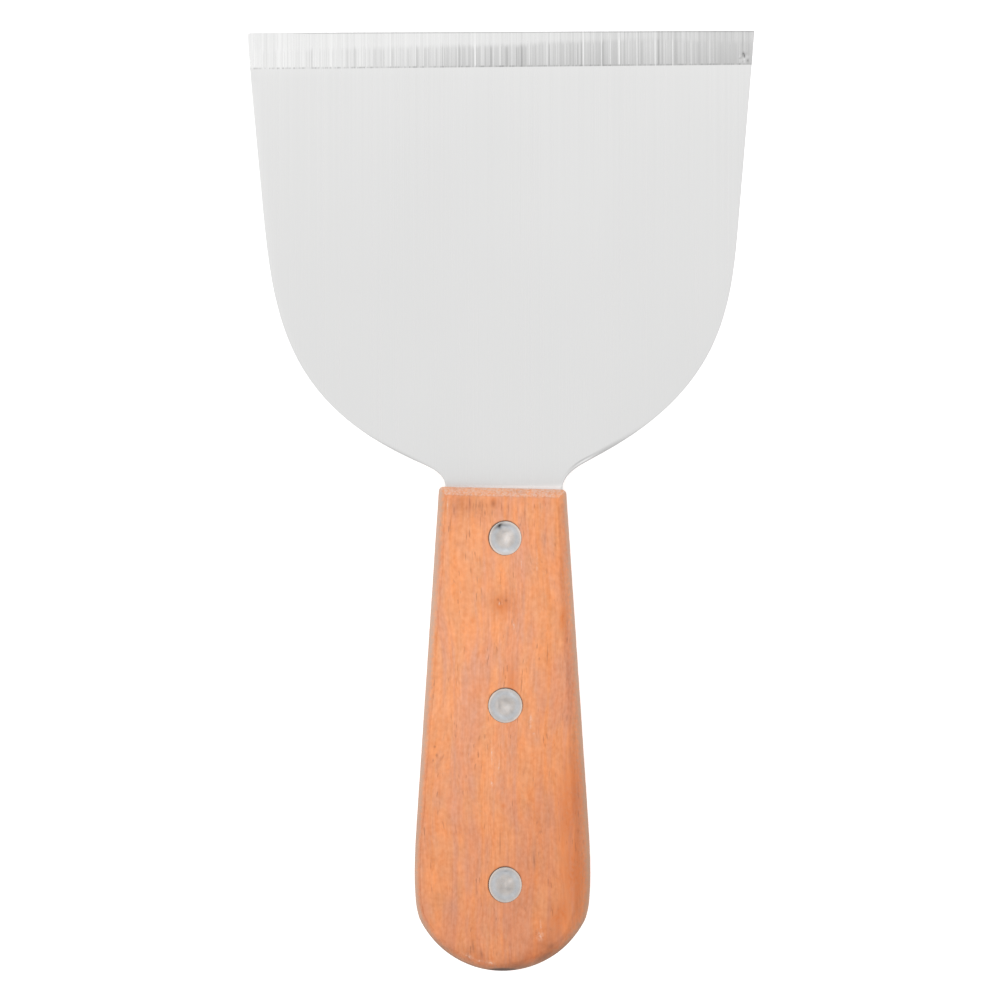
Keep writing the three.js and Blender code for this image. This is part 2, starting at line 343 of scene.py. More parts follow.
def blade_chain(side):
    """One side of the blade, from its corner at the working edge back to the handle, as on
    the right-hand side. Every section has the same number of points on both sides."""
    s = SIDES[side]
    lean = math.tan(TAPER)
    slope = math.radians(s["slope"])
    bevel_end = bevel_start(SIGN[side] * HALF_WIDTH)
    along_side = np.array([-math.sin(TAPER), -math.cos(TAPER)])
    along_shoulder = np.array([math.cos(slope), math.sin(slope)])
    on_side = lambda y: np.array([HALF_WIDTH - (REACH_TRUE - y) * lean, y])
    edge_end = np.array([HALF_WIDTH - s["corner"], REACH_TRUE])
    side_start = on_side(REACH_TRUE - s["corner"])
    straight_end = on_side(s["straight_ends"])
    shoulder = np.array(SHOULDER)
    drop = (SHOULDER[0] - s["neck"]) * math.tan(slope)
    sharp = np.array([s["neck"], SHOULDER[1] - drop])
    blend_start = sharp + along_shoulder * s["along"]
    blend_end = sharp - np.array([0, s["down"]])
    neck_end = np.array([s["neck"], min(front_at(SIGN[side] * s["neck"]), blend_end[1] - 0.2)])
    return np.vstack([
        edge_end[None],
        bend(edge_end, np.array([HALF_WIDTH, REACH_TRUE]), side_start, CORNER_ROWS),
        line(side_start, on_side(bevel_end + LIP), BEVEL_ROWS),
        line(on_side(bevel_end + LIP), on_side(bevel_end), LIP_ROWS),
        line(on_side(bevel_end), straight_end, 14),
        bezier(
            straight_end, straight_end + along_side * s["ease"],
            shoulder + along_shoulder * SHOULDER_EASE, shoulder, 72,
        ),
        line(shoulder, blend_start, 3),
        bend(blend_start, sharp, blend_end, 14),
        line(blend_end, neck_end, 3),
    ])


def butt_centre(proud=0.0):
    return -(HANDLE_LENGTH + proud - BUTT_RADIUS)


def tang_chain(side):
    """One side of the tang from its front corner to the middle of the butt."""
    slope = (TAPER_END[0] - HANDLE_FRONT) / TAPER_END[1]
    front = np.array([HANDLE_FRONT - FRONT_CORNER, 0.0])
    corner = np.array([HANDLE_FRONT, 0.0])
    corner_end = np.array([HANDLE_FRONT + FRONT_CORNER * slope, -FRONT_CORNER])
    for point in (front, corner, corner_end):
        point[1] += front_at(SIGN[side] * point[0])
    taper_end = np.array([TAPER_END[0], -TAPER_END[1]])
    centre = butt_centre(TANG_PROUD)
    angles = np.linspace(math.asin(BUTT_START / BUTT_RADIUS), 0, 31)
    arc = np.stack([np.sin(angles), -np.cos(angles)], 1) * BUTT_RADIUS + [0, centre]
    pulls = [np.array([x, -back]) for x, back in BELLY_PULLS]
    return np.vstack([
        bend(front, corner, corner_end, 6, start=0.3),
        line(corner_end, taper_end, 42),
        bezier(taper_end, pulls[0], pulls[1], arc[0], 16),
        arc[1:],
    ])


def bevel_depth(x, y):
    """How far the ground bevel lies under the blade's face."""
    start = bevel_start(x)
    run = np.clip((y - start) / (REACH_TRUE - start), 0, 1)
    full = STEEL_TOP - STEEL_BOTTOM - EDGE_LAND
    lip = 0.035 * smoothstep(0, LIP / BEVEL_LENGTH, run)
    return lip + (full - lip) * (run + 0.10 * np.sin(math.pi * run))


# The grinding lines run straight up the bevel: each is a list of values over LINE_X.
LINE_STEP = 0.08
LINE_X = np.arange(-66, 66, LINE_STEP)


def random_lines(width):
    """Random values of deviation 1, alike over about a width."""
    window = np.hanning(2 * round(width / LINE_STEP) + 3)
    values = np.convolve(rng.normal(0, 1, len(LINE_X)), window, "same")
    return values / values.std()


def spikes(places, width):
    """Narrow lines at the places, of uneven strength."""
    total = np.zeros(len(LINE_X))
    for place_x in places:
        total += rng.uniform(0.8, 1.1) * np.exp(-(((LINE_X - place_x) / width) ** 2))
    return total


FINE, SECOND, BROAD = random_lines(0.08), random_lines(0.08), random_lines(0.3)
# The stronger lines are evenly spaced, with fainter ones between them and some odd dark cuts.
COMB = np.zeros(len(LINE_X))
COMB_START, HALF_COMB_START, COMB_STEP = -1.87, 0.38, 4.51
for number in range(-9, 13):
    numbers = (-9, -5, -1, 2, 5, 7, 9, 12)
    strength = np.interp(number, numbers, (0.2, 0.35, 1.0, 1.0, 1.2, 1.6, 1.5, 0.5))
    COMB += strength * spikes([COMB_START + COMB_STEP * number + rng.uniform(-0.12, 0.12)], 0.10)
HALF_PLACES = [HALF_COMB_START + COMB_STEP * k + rng.uniform(-0.2, 0.2) for k in range(-8, 10)]
HALF_COMB = spikes(HALF_PLACES, 0.10)
CUTS = spikes((-2.4, 5.1, 1.5, 20.2, 25.8, -10.4, -14.6, 39.5, -21.0, -36.5, -47.3), 0.15)
GROOVES = 0.0008 * FINE + 0.001 * BROAD + 0.004 * COMB

# How brightly the ground steel shows across the blade: painted reflection of the lamps, lighter
# at the left and darker at the right, over the grind's own finish. The part nearer the edge, the
# part nearer the face, how strongly the lines show in each, and where one gives way to the other.
ACROSS = (-60, -38, -20, -8, 3, 13, 24, 39, 55)
NEAR_EDGE = (0.700, 0.688, 0.682, 0.668, 0.648, 0.642, 0.600, 0.576, 0.545)
NEAR_FACE = (0.672, 0.622, 0.594, 0.556, 0.508, 0.526, 0.504, 0.526, 0.488)
EDGE_LINES = (0.03, 0.03, 0.03, 0.022, 0.022, 0.03, 0.06, 0.07, 0.05)
FACE_LINES = (0.05, 0.07, 0.085, 0.09, 0.10, 0.10, 0.085, 0.08, 0.05)
COMB_NEAR_EDGE = (0.03, 0.05, 0.08, 0.11, 0.12, 0.12, 0.17, 0.16, 0.08)
GIVES_WAY = (0.49, 0.435, 0.39, 0.38, 0.375, 0.30, 0.27, 0.21, 0.30)
FACE_SHINE = 0.632

# Corrosion pits near the bevel's right-hand end: place, half-size and depth.
PITS = [(60.9, 108.6, 0.32, 0.07), (61.2, 108.0, 0.24, 0.05), (61.9, 106.9, 0.28, 0.05)]
for _ in range(34):
    pit_x, pit_y = rng.normal(61.2, 0.75), rng.normal(107.8, 0.95)
    if pit_x < 62.5 and bevel_start(pit_x) + 0.4 < pit_y < 110.5:
        PITS.append((pit_x, pit_y, rng.uniform(0.11, 0.2), rng.uniform(-0.022, 0.03)))


def ground_tone(x, y):
    """Painted reflection on the ground bevel at points in the blade's frame, over its grinding lines,
    with painted shade in thin lines where it meets the face and along the working edge.
    """
    at = lambda values: np.interp(x, LINE_X, values)
    run = (REACH_TRUE - y) / (REACH_TRUE - bevel_start(x))
    comb = at(COMB) + 0.45 * at(HALF_COMB) * smoothstep(0, 8, x)
    upper = 1 + np.interp(x, ACROSS, EDGE_LINES) * (at(FINE) + 0.1 * at(BROAD))
    upper = np.interp(x, ACROSS, NEAR_EDGE) * (
        upper + np.interp(x, ACROSS, COMB_NEAR_EDGE) * comb - 0.04 * at(CUTS)
    )
    lower = 1.045 - 0.10 * smoothstep(-45, -10, x) * np.clip(run - 0.4, 0, 0.6) / 0.55
    lower = lower + np.interp(x, ACROSS, FACE_LINES) * (
        0.62 * at(FINE) + 0.62 * at(SECOND) + 0.1 * at(BROAD)
    )
    lower = np.interp(x, ACROSS, NEAR_FACE) * (lower + 0.42 * comb - 0.26 * at(CUTS))
    changes = np.interp(x, ACROSS, GIVES_WAY)
    step = smoothstep(-0.09, 0.09, run - changes + 0.025 * at(SECOND))
    tone = upper * (1 - step) + lower * step
    # Painted shade in a thin line where the bevel meets the face.
    border = smoothstep(0.93, 0.97, run) * (0.16 + 0.14 * at(SECOND) + 0.05 * at(BROAD))
    # Painted shade in a thin line along the working edge.
    edge_shade = 0.24 * (1 - smoothstep(0.015, 0.05, run)) * smoothstep(-56, -46, x)
    tone = tone * (1 - np.clip(border, 0, 0.5)) * (1 - edge_shade)
    points = np.column_stack([x, y])
    for pit_x, pit_y, size, depth in PITS:
        tone = tone - 5 * depth * blot(points, pit_x, pit_y, size, 1.3 * size)
    tone = tone + 0.10 * blot(points, 61.0, 107.0, 1.0, 0.7)
    return tone - 0.09 * blot(points, 60.75, 111.9, 0.16, 2.6)


def face_tone(x, y):
    # Painted reflection on the flat face: lighter in a thin band at the handle where it cancels the
    # wood's shadow on the steel, a little darker by the neck, and lighter towards the working edge and
    # the right.
    fall = np.interp(
        y, (0.2, 0.8, 1.5, 8, 45, 85, 106), (1.28, 0.985, 0.955, 0.975, 0.99, 1.01, 1.03),
    )
    return FACE_SHINE * fall * (1 + 0.004 * x / HALF_WIDTH)


WORKING_EASE, SIDE_EASE = 0.03, 0.13


def blade_shape():
    turn = np.array([[math.cos(SKEW), math.sin(SKEW)], [-math.sin(SKEW), math.cos(SKEW)]])
    mirror = np.array([-1.0, 1.0])
    right = np.vstack([blade_chain("right"), tang_chain("right") @ turn.T])
    left = np.vstack([blade_chain("left") * mirror, (tang_chain("left") * mirror) @ turn.T])
    rows = len(right) - 1  # the last row is the single point at the butt
    first_tang = len(blade_chain("right")) + 2
    u = np.linspace(0, 1, EDGE_COLUMNS + 1)

    edge = left[0] * (1 - u[:, None]) + right[0] * u[:, None]
    loop = np.vstack([edge, right[1:], left[1:-1][::-1]])
    normals = loop_normals(loop)
    x, y = loop.T
    on_edge = np.arange(len(loop)) <= EDGE_COLUMNS
    thickness = STEEL_TOP - STEEL_BOTTOM - bevel_depth(x, y)

    # How far the top edge is eased: a hair round the working end, more down the sides, and
    # filed facets along the two shoulders.
    filed_left = blot(loop, -24, 9.5, 11, 6)
    filed_right = blot(loop, 23, 9, 12, 8)
    ease = np.where(on_edge, WORKING_EASE, SIDE_EASE) * (0.9 + 0.2 * rolling(y, 3, 17))
    ease = ease + np.where(y > 0.6, 0.34 * filed_left + 0.48 * filed_right, 0)
    ease = np.minimum(ease, 0.42 * thickness)
    wide = ease * np.where(x > 0, 1.7, 1.3)
    under = np.minimum(np.where(on_edge, 0.03, 0.1), 0.3 * thickness)

    # Painted shine and painted shade on each ring round the eased edge, from the face out: darker
    # where the edge rounds away, lighter and darker bands on the filed facets.
    double = blot(loop, 20.4, 6.6, 2.6, 3.2)
    foot = blot(loop, 15.6, 2.2, 1.6, 3.4)
    working = np.where(on_edge & (x > -50), 0.80, 0.95)
    # The tang's edges under the handle are duller and darker, and its end is darkened into a dark
    # crescent at the middle of the butt.
    at_butt = smoothstep(-HANDLE_LENGTH + 2, -HANDLE_LENGTH + 0.5, y)
    crescent = at_butt * (1 - smoothstep(2.6, 4.2, np.abs(x + 0.27)))
    dulled = 0.66 + 0.10 * rolling(y + 2 * x, 17, 21) + 0.05 * rolling(y - 3 * x, 18, 3.5)
    dimming = np.where(y < 0.2, dulled, 1.0) * (1 - 0.72 * crescent)

    def border(k):
        plain = (1.0, 0.98, 0.95, 0.92, 0.88)[k]
        left_facet = (0.95, 0.87, 0.85, 0.85, 0.85)[k]
        right_facet = (0.86, 0.76, 0.76, 0.80, 0.82)[k]
        lined = (0.66, 1.20, 1.12, 0.45, 0.38)[k]
        footing = (0.96, 1.10, 0.90, 0.52, 0.45)[k]
        tone = plain + (left_facet - plain) * filed_left + (right_facet - plain) * filed_right
        tone = tone + (lined - tone) * double + (footing - tone) * foot
        return np.where(on_edge, working, tone) * dimming

    shape = Shape()

    def on_top(spots):
        """Heights and shine of points on the front of the blade."""
        px, py = spots[:, 0], spots[:, 1]
        past = py - bevel_start(px)
        height = STEEL_TOP - bevel_depth(px, py)
        height = height + np.interp(px, LINE_X, GROOVES) * smoothstep(0, 0.5, past)
        tone = np.where(past > 0.07, ground_tone(px, py), face_tone(px, py))
        for pit_x, pit_y, size, depth in PITS:
            height = height - max(depth, 0) * blot(spots, pit_x, pit_y, size, 1.3 * size)
        return height, tone

    def top_ring(k, angle):
        spots = loop - normals * (wide * (1 - math.sin(angle)))[:, None]
        height, tone = on_top(spots)
        drop = ease * (1 - math.cos(angle))
        return shape.add(np.column_stack([spots, height - drop]), tone=tone * border(k))

    def bottom_ring(angle):
        spots = loop - normals * (under * (1 - math.sin(angle)))[:, None]
        height = STEEL_BOTTOM + under * (1 - math.cos(angle))
        return shape.add(np.column_stack([spots, height]), tone=FACE_SHINE * dimming)

    rings = [top_ring(k, math.radians(22.5 * k)) for k in range(5)]
    rings += [bottom_ring(math.radians(angle)) for angle in (90, 45, 0)]
    shape.skins(rings)

    def tang_hole(x_at, y_at, height):
        spots = circle(HOLE_SEGMENTS // 2) * SHANK_HOLE + [x_at, y_at]
        return shape.add(np.column_stack([spots, np.full(len(spots), height)]), tone=FACE_SHINE)

    def face_rows(outer, top):
        """Fills a face row by row from the working edge back, then the tang round its holes."""
        count = len(loop)
        right_of = lambda k: outer[EDGE_COLUMNS + k]
        left_of = lambda k: outer[(count - k) % count]
        points = shape.points()
        previous = outer[: EDGE_COLUMNS + 1]
        for k in range(1, first_tang + 1):
            columns = FACE_COLUMNS
            if top and k <= LAST_BEVEL:
                columns = EDGE_COLUMNS
            elif k == (LAST_BEVEL + 1 if top else 1):
                columns = EDGE_COLUMNS // 4
            elif k == first_tang:
                columns = TANG_COLUMNS
            t = np.linspace(0, 1, columns + 1)[1:-1, None]
            middle = points[left_of(k)] * (1 - t) + points[right_of(k)] * t
            tone = FACE_SHINE
            if top:
                middle[:, 2], tone = on_top(middle[:, :2])
            row = np.concatenate([[left_of(k)], shape.add(middle, tone=tone), [right_of(k)]])
            ratio = (len(previous) - 1) // (len(row) - 1)
            for j in range(len(row) - 1):
                fine = previous[j * ratio : (j + 1) * ratio + 1]
                if ratio == 1:
                    shape.face(row[j], row[j + 1], fine[1], fine[0])
                    continue
                half = ratio // 2
                for i in range(ratio):
                    shape.face(row[j] if i < half else row[j + 1], fine[i + 1], fine[i])
                shape.face(row[j], row[j + 1], fine[half])
            previous = row
        rest_right = [right_of(k) for k in range(first_tang + 1, rows + 1)]
        rest_left = [left_of(k) for k in range(rows - 1, first_tang, -1)]
        around = np.concatenate([previous, rest_right, rest_left]).astype(int)
        height = points[right_of(rows)][2]
        untwist = [(np.array([[a, b]]) @ turn.T)[0] for a, b in RIVETS.values()]
        holes = [tang_hole(*spot, height) for spot in untwist]
        fill_plane(shape, around, holes)
        return holes

    holes = face_rows(rings[0], top=True)
    top_faces = len(shape.faces)
    lower_holes = face_rows(rings[-1], top=False)
    shape.turn_over(top_faces)
    for a, b in zip(holes, lower_holes):
        shape.skin(b, a)

    points = shape.points()
    points[:, :2] = points[:, :2] @ turn
    shape.vertices = [points]
    return shape


# ---- The scales -----------------------------------------------------------------------------

SCALE_THICKNESS = (SCALE_HIGH.z - SCALE_LOW.z) / MM
FRONT_SEGMENTS, CORNER_SEGMENTS, SIDE_SEGMENTS, BELLY_SEGMENTS, BUTT_SEGMENTS = 60, 7, 132, 32, 36

# How wide the eased edge is, seen from above, against the distance back from the front end.
EASE_AT = np.array([0, 20, 55, 80, 95, 108, 116, HANDLE_LENGTH])
EASES = {
    "front": dict(
        front=2.15, left=[1.9, 2.2, 1.95, 1.7, 1.4, 1.5, 1.8, 2.0],
        right=[2.0, 2.9, 3.2, 3.6, 3.7, 3.3, 2.5, 2.0], drop=2.3, seed=11,
    ),
    "back": dict(
        front=1.9, left=[2.3, 2.4, 2.6, 2.9, 2.8, 2.4, 2.2, 2.2],
        right=[2.0, 2.0, 1.9, 1.8, 1.9, 2.1, 2.2, 2.2], drop=2.2, seed=29,
    ),
}

# Where hands and the bench have marked the wood, with a few marks of painted shade along the
# butt's rim and a darker band and crescent there: what the mark looks like, where it is on
# the outer face, its half-sizes across and along the grain, its depth and how far it is turned.
WEAR_AND_SHADE = {
    "front": [
        ("rust", -0.5, -28.9, 1.9, 2.2, 0.05, 0), ("pale", -0.15, -28.5, 0.16, 0.5, 0.05, 6),
        ("pale", -0.8, -28.9, 0.15, 0.42, 0.05, -8), ("dark", 0.9, -28.1, 0.35, 0.4, 0.08, 0),
        ("dark", -0.5, -28.7, 0.12, 0.4, 0.1, 0), ("dark", -1.1, -27.9, 0.25, 0.3, 0.05, 0),
        ("rust", -7.5, -33.2, 0.55, 0.65, 0.03, 0), ("dark", -7.9, -20.6, 0.1, 0.8, 0.05, 4),
        ("dark", -6.3, -22.9, 0.1, 0.9, 0.05, 5), ("dark", -5.3, -25.6, 0.12, 0.8, 0.05, 6),
        ("pale", 7, -58.2, 0.28, 1.7, 0.12, -2), ("pale", 7.7, -61.3, 0.26, 0.28, 0.1, 0),
        ("dark", 6.6, -58.6, 0.1, 1.2, 0.05, 0), ("pale", -2.7, -66.2, 0.16, 2.1, 0.06, 1),
        ("pale", -0.9, -69.4, 0.15, 1.3, 0.06, -4), ("pale", -2.7, -73.9, 0.24, 1.6, 0.1, 1),
        ("rust", 0.3, -79.4, 0.6, 0.55, 0.02, 0), ("dark", -16.9, -64.6, 0.3, 0.3, 0.05, 0),
        ("dark", -16.4, -66.7, 0.3, 0.45, 0.05, 0), ("dark", -17.3, -68, 0.18, 0.35, 0.04, 0),
        ("pale", 9.4, -111.9, 0.62, 0.95, 0.14, -10), ("pale", 9.5, -109.2, 0.15, 0.9, 0.06, 4),
        ("dark", 8.4, -111, 0.12, 0.8, 0.05, 0), ("dark", 12.1, -114.4, 1, 0.6, 0.08, 35),
        ("rust", 14.5, -106.5, 2.3, 5, 0, -20), ("dark", -7.3, -114.6, 0.28, 1.5, 0.05, 6),
        ("dark", -5.2, -116.4, 0.35, 1.2, 0.06, 10), ("pale", -8.3, -117, 1.3, 0.3, 0.12, -25),
        ("pale", -5.9, -118, 0.7, 0.25, 0.12, -20), ("pale", -2.9, -118.6, 1.1, 0.3, 0.1, -8),
        ("pale", -13.7, -4.2, 0.13, 2.3, 0.08, 0), ("dark", -13.1, -9.3, 0.12, 1.4, 0.03, -4),
        ("dark", 4.3, -0.95, 1, 0.13, 0.1, -1), ("pale", -5, -1.2, 2, 0.22, 0.06, 2),
        ("pale", -8.6, -1.5, 0.9, 0.25, 0.05, -3), ("pale", -4.2, -1.7, 0.45, 0.2, 0.05, 4),
        ("dark", -0.6, -88.5, 0.14, 2.6, 0.03, 0), ("dark", 7.9, -93, 0.2, 1.6, 0.03, 3),
        ("dark", 11.2, -41.5, 0.12, 2.4, 0.03, -2), ("rust", 15, -33, 0.9, 3.5, 0, -4),
        ("dark", -5.6, -4.3, 0.14, 1.2, 0.03, 2), ("pale", 2.7, -34, 0.2, 1.2, 0.03, 12),
        ("rust", 2.2, -49, 1, 5, 0, 0), ("soot", 0.3, -121, 4.2, 1, 0, 0),
        ("grime", 3.2, -119.9, 5.8, 1.4, 0, 5), ("grime", 10.5, -117.2, 3.6, 1, 0, 33),
        ("shade", 5, -118.3, 8.5, 1.9, 0, 10), ("shade", -7.6, -4.6, 5.8, 3, 0, 0),
        ("shade", -10.5, -3.5, 2.6, 2.6, 0, 0), ("dark", -2.3, -3.9, 0.55, 0.9, 0.03, 0),
        ("rust", -2.2, -3.6, 0.9, 1.5, 0, 0), ("dark", -5.1, -5, 0.13, 2.1, 0.03, 0),
        ("dark", -5.5, -8.4, 0.11, 1.6, 0.03, 0), ("dark", -8.2, -3.6, 0.16, 1.1, 0.03, 3),
        ("dark", -6.6, -4.1, 0.12, 1.3, 0.03, -3), ("dark", -12.1, -5.4, 0.16, 0.8, 0.03, 0),
        ("dark", -2.6, -6.2, 0.12, 0.9, 0.03, 0), ("dark", -0.2, -4.6, 0.1, 1.2, 0.02, 0),
        ("dark", 1.5, -5.1, 0.1, 1.3, 0.02, 0), ("dark", 5.6, -6.2, 0.11, 1.7, 0.02, 0),
        ("dark", 10.6, -13, 0.11, 1.3, 0.03, 0), ("dark", -9, -12.2, 0.14, 0.8, 0.03, 0),
        ("dark", -9.2, -17.2, 0.12, 1, 0.03, 3), ("pale", 8.6, -18.5, 0.1, 3.2, 0.03, 0),
        ("pale", 4.7, -19, 0.1, 1.6, 0.03, 2), ("shade", 10.5, -114.5, 4.5, 2.6, 0, 35),
        ("shade", 0, -28.5, 3.6, 3.2, 0, 0), ("shade", -8, -117, 7, 2, 0, -18),
        ("rust", 16.8, -80, 2.4, 12, 0, -2), ("rust", 17.4, -96, 2.4, 9, 0, 3),
    ],
    "back": [
        ("pale", -6, -34, 0.3, 2.2, 0.14, 5), ("pale", 5.4, -70, 0.25, 3, 0.1, -4),
        ("dark", 10.2, -104, 0.9, 0.8, 0.16, 25), ("pale", -12, -90, 0.25, 2.4, 0.09, 2),
        ("pale", 2, -22, 0.3, 1.8, 0.12, 12), ("pale", -3.2, -117, 1.1, 0.5, 0.25, 4),
        ("rust", 3.5, -41, 1.6, 2.1, 0.04, 0), ("dark", 3.3, -40.8, 0.4, 0.5, 0.1, 0),
        ("dark", -9, -60, 0.14, 1.8, 0.05, 3), ("dark", 8.8, -12, 0.12, 1.4, 0.05, -3),
        ("pale", 13, -50, 0.3, 1.6, 0.1, 1), ("rust", -12, -105, 2.2, 4, 0, 15),
    ],
}


def handle_ring(ease, amount):
    """The handle's outline moved in by a share of the eased edge's width, as a closed loop
    that runs clockwise from the left end of the front."""
    slope = (TAPER_END[0] - HANDLE_FRONT) / TAPER_END[1]
    lean = math.atan(slope)
    normal = np.array([math.cos(lean), math.sin(lean)])
    front_in = ease["front"] * amount

    def half(side, seed):
        slant = SIGN[side] * FRONT_SLANT
        widths = lambda back: np.interp(back, EASE_AT, ease[side]) * (
            1 + 0.05 * rolling(back, seed, 31) + 0.02 * rolling(back, seed + 1, 6)
        )
        side_in = float(widths(0.0)) * amount
        radius = max(FRONT_CORNER - max(front_in, side_in), 0.14)
        centre = np.zeros(2)
        for _ in range(3):
            along = slope * -centre[1] - (side_in + radius) / math.cos(lean)
            centre[0] = HANDLE_FRONT + along
            centre[1] = -(front_in + radius + centre[0] * math.sin(slant)) / math.cos(slant)
        angles = np.linspace(math.pi / 2 - slant, lean, CORNER_SEGMENTS + 1)
        corner = centre + radius * np.stack([np.cos(angles), np.sin(angles)], 1)
        start_back = -(corner[-1] + normal * side_in)[1]
        back = np.linspace(start_back, TAPER_END[1], SIDE_SEGMENTS + 1)[1:]
        base = np.stack([HANDLE_FRONT + slope * back, -back], 1)
        belly = bezier(
            base[-1], *(np.array([x, -b]) for x, b in BELLY_PULLS),
            np.array([BUTT_START, butt_centre() - math.sqrt(BUTT_RADIUS**2 - BUTT_START**2)]),
            BELLY_SEGMENTS,
        )
        angles = np.linspace(math.asin(BUTT_START / BUTT_RADIUS), 0, BUTT_SEGMENTS + 1)
        arc = np.stack([np.sin(angles), -np.cos(angles)], 1) * BUTT_RADIUS + [0, butt_centre()]
        curve = np.vstack([base[-1:], belly, arc[1:]])
        run = np.gradient(curve, axis=0)
        bent = np.stack([-run[:, 1], run[:, 0]], 1)
        bent /= np.linalg.norm(bent, axis=1)[:, None]
        bent[-1] = [0, -1]
        points = np.vstack([base, belly, arc[1:]])
        normals = np.vstack([np.tile(normal, (len(back), 1)), bent[1:]])
        return corner, points - normals * (widths(-points[:, 1]) * amount)[:, None]

    corner_r, right = half("right", ease["seed"])
    corner_l, left = half("left", ease["seed"] + 5)
    mirror = np.array([-1, 1])
    t = np.linspace(0, 1, FRONT_SEGMENTS + 1)[1:-1, None]
    front = corner_l[0] * mirror * (1 - t) + corner_r[0] * t
    middle = (right[-1:] + left[-1:] * mirror) / 2
    return np.vstack([
        corner_l[:1] * mirror, front, corner_r, right[:-1], middle,
        left[:-1][::-1] * mirror, corner_l[1:][::-1] * mirror,
    ])


# How the eased edge is coloured, from the flat face at 0 to the side at 1 and the glue line at 2,
# on each side of the handle: grey-pink towards the outer rim that is partly real wear and partly
# a painted reflection of the white floor; painted shade on the chamfers, most on the right and
# at the butt where they turn from the key light, with a darker line at the chamfer's inner edge;
# a paler front chamfer; and the dark glue line with a darker band at the butt's rim.
EDGE_AT = (0.0, 0.05, 0.15, 0.5, 0.8, 1.0, 1.3, 2.0)
# Grey-pink towards the outer rim: partly real wear, partly a painted reflection of the white floor.
EDGE_WEAR_AND_SHEEN = {
    "left": (0.0, 0.0, 0.2, 0.60, 0.95, 1.0, 0.45, 0.15),
    "right": (0.0, 0.0, 0.05, 0.25, 0.75, 1.0, 0.45, 0.15),
    "fore": (0.1, 0.1, 0.15, 0.2, 0.3, 0.45, 0.4, 0.15),
    "rear": (0.0, 0.0, 0.05, 0.35, 0.7, 0.9, 0.45, 0.15),
}
# Painted shade on the chamfers, most on the right and at the butt, and along their inner edges.
EDGE_DARK = {
    "left": (0.7, 0.7, 0.5, 0.3, 0.25, 0.25, 0.2, 0.4),
    "right": (0.4, 0.5, 0.55, 0.42, 0.25, 0.12, 0.2, 0.4),
    "fore": (0.45, 0.1, 0.0, 0.0, 0.0, 0.0, 0.3, 0.5),
    "rear": (0.1, 0.2, 0.3, 0.5, 0.6, 0.7, 0.5, 0.5),
}
NONE = (0.0,) * len(EDGE_AT)
EDGE_PALE = {
    "left": NONE,
    "right": NONE,
    "fore": (0.2, 0.6, 0.65, 0.6, 0.7, 0.7, 0.1, 0.0),
    "rear": NONE,
}
GLUE_LINE = (*NONE[:-1], 0.12)
EDGE_JOINT_AND_SHADE = {
    "left": GLUE_LINE,
    "right": GLUE_LINE,
    "fore": GLUE_LINE,
    "rear": (0.0, 0.0, 0.0, 0.04, 0.16, 0.55, 0.15, 0.15),
}


def edge_wear_and_light(normals, edge, kinds):
    """A value out of one of those tables for each point of a ring."""
    fore = smoothstep(0.5, 0.85, normals[:, 1])
    rear = smoothstep(0.35, 0.8, -normals[:, 1])
    share = {"fore": fore, "rear": rear}
    share["right"] = (1 - fore - rear) * (normals[:, 0] > 0)
    share["left"] = (1 - fore - rear) * (normals[:, 0] <= 0)
    return sum(share[side] * np.interp(edge, EDGE_AT, kinds[side]) for side in share)


NICK_PALENESS = 0.7


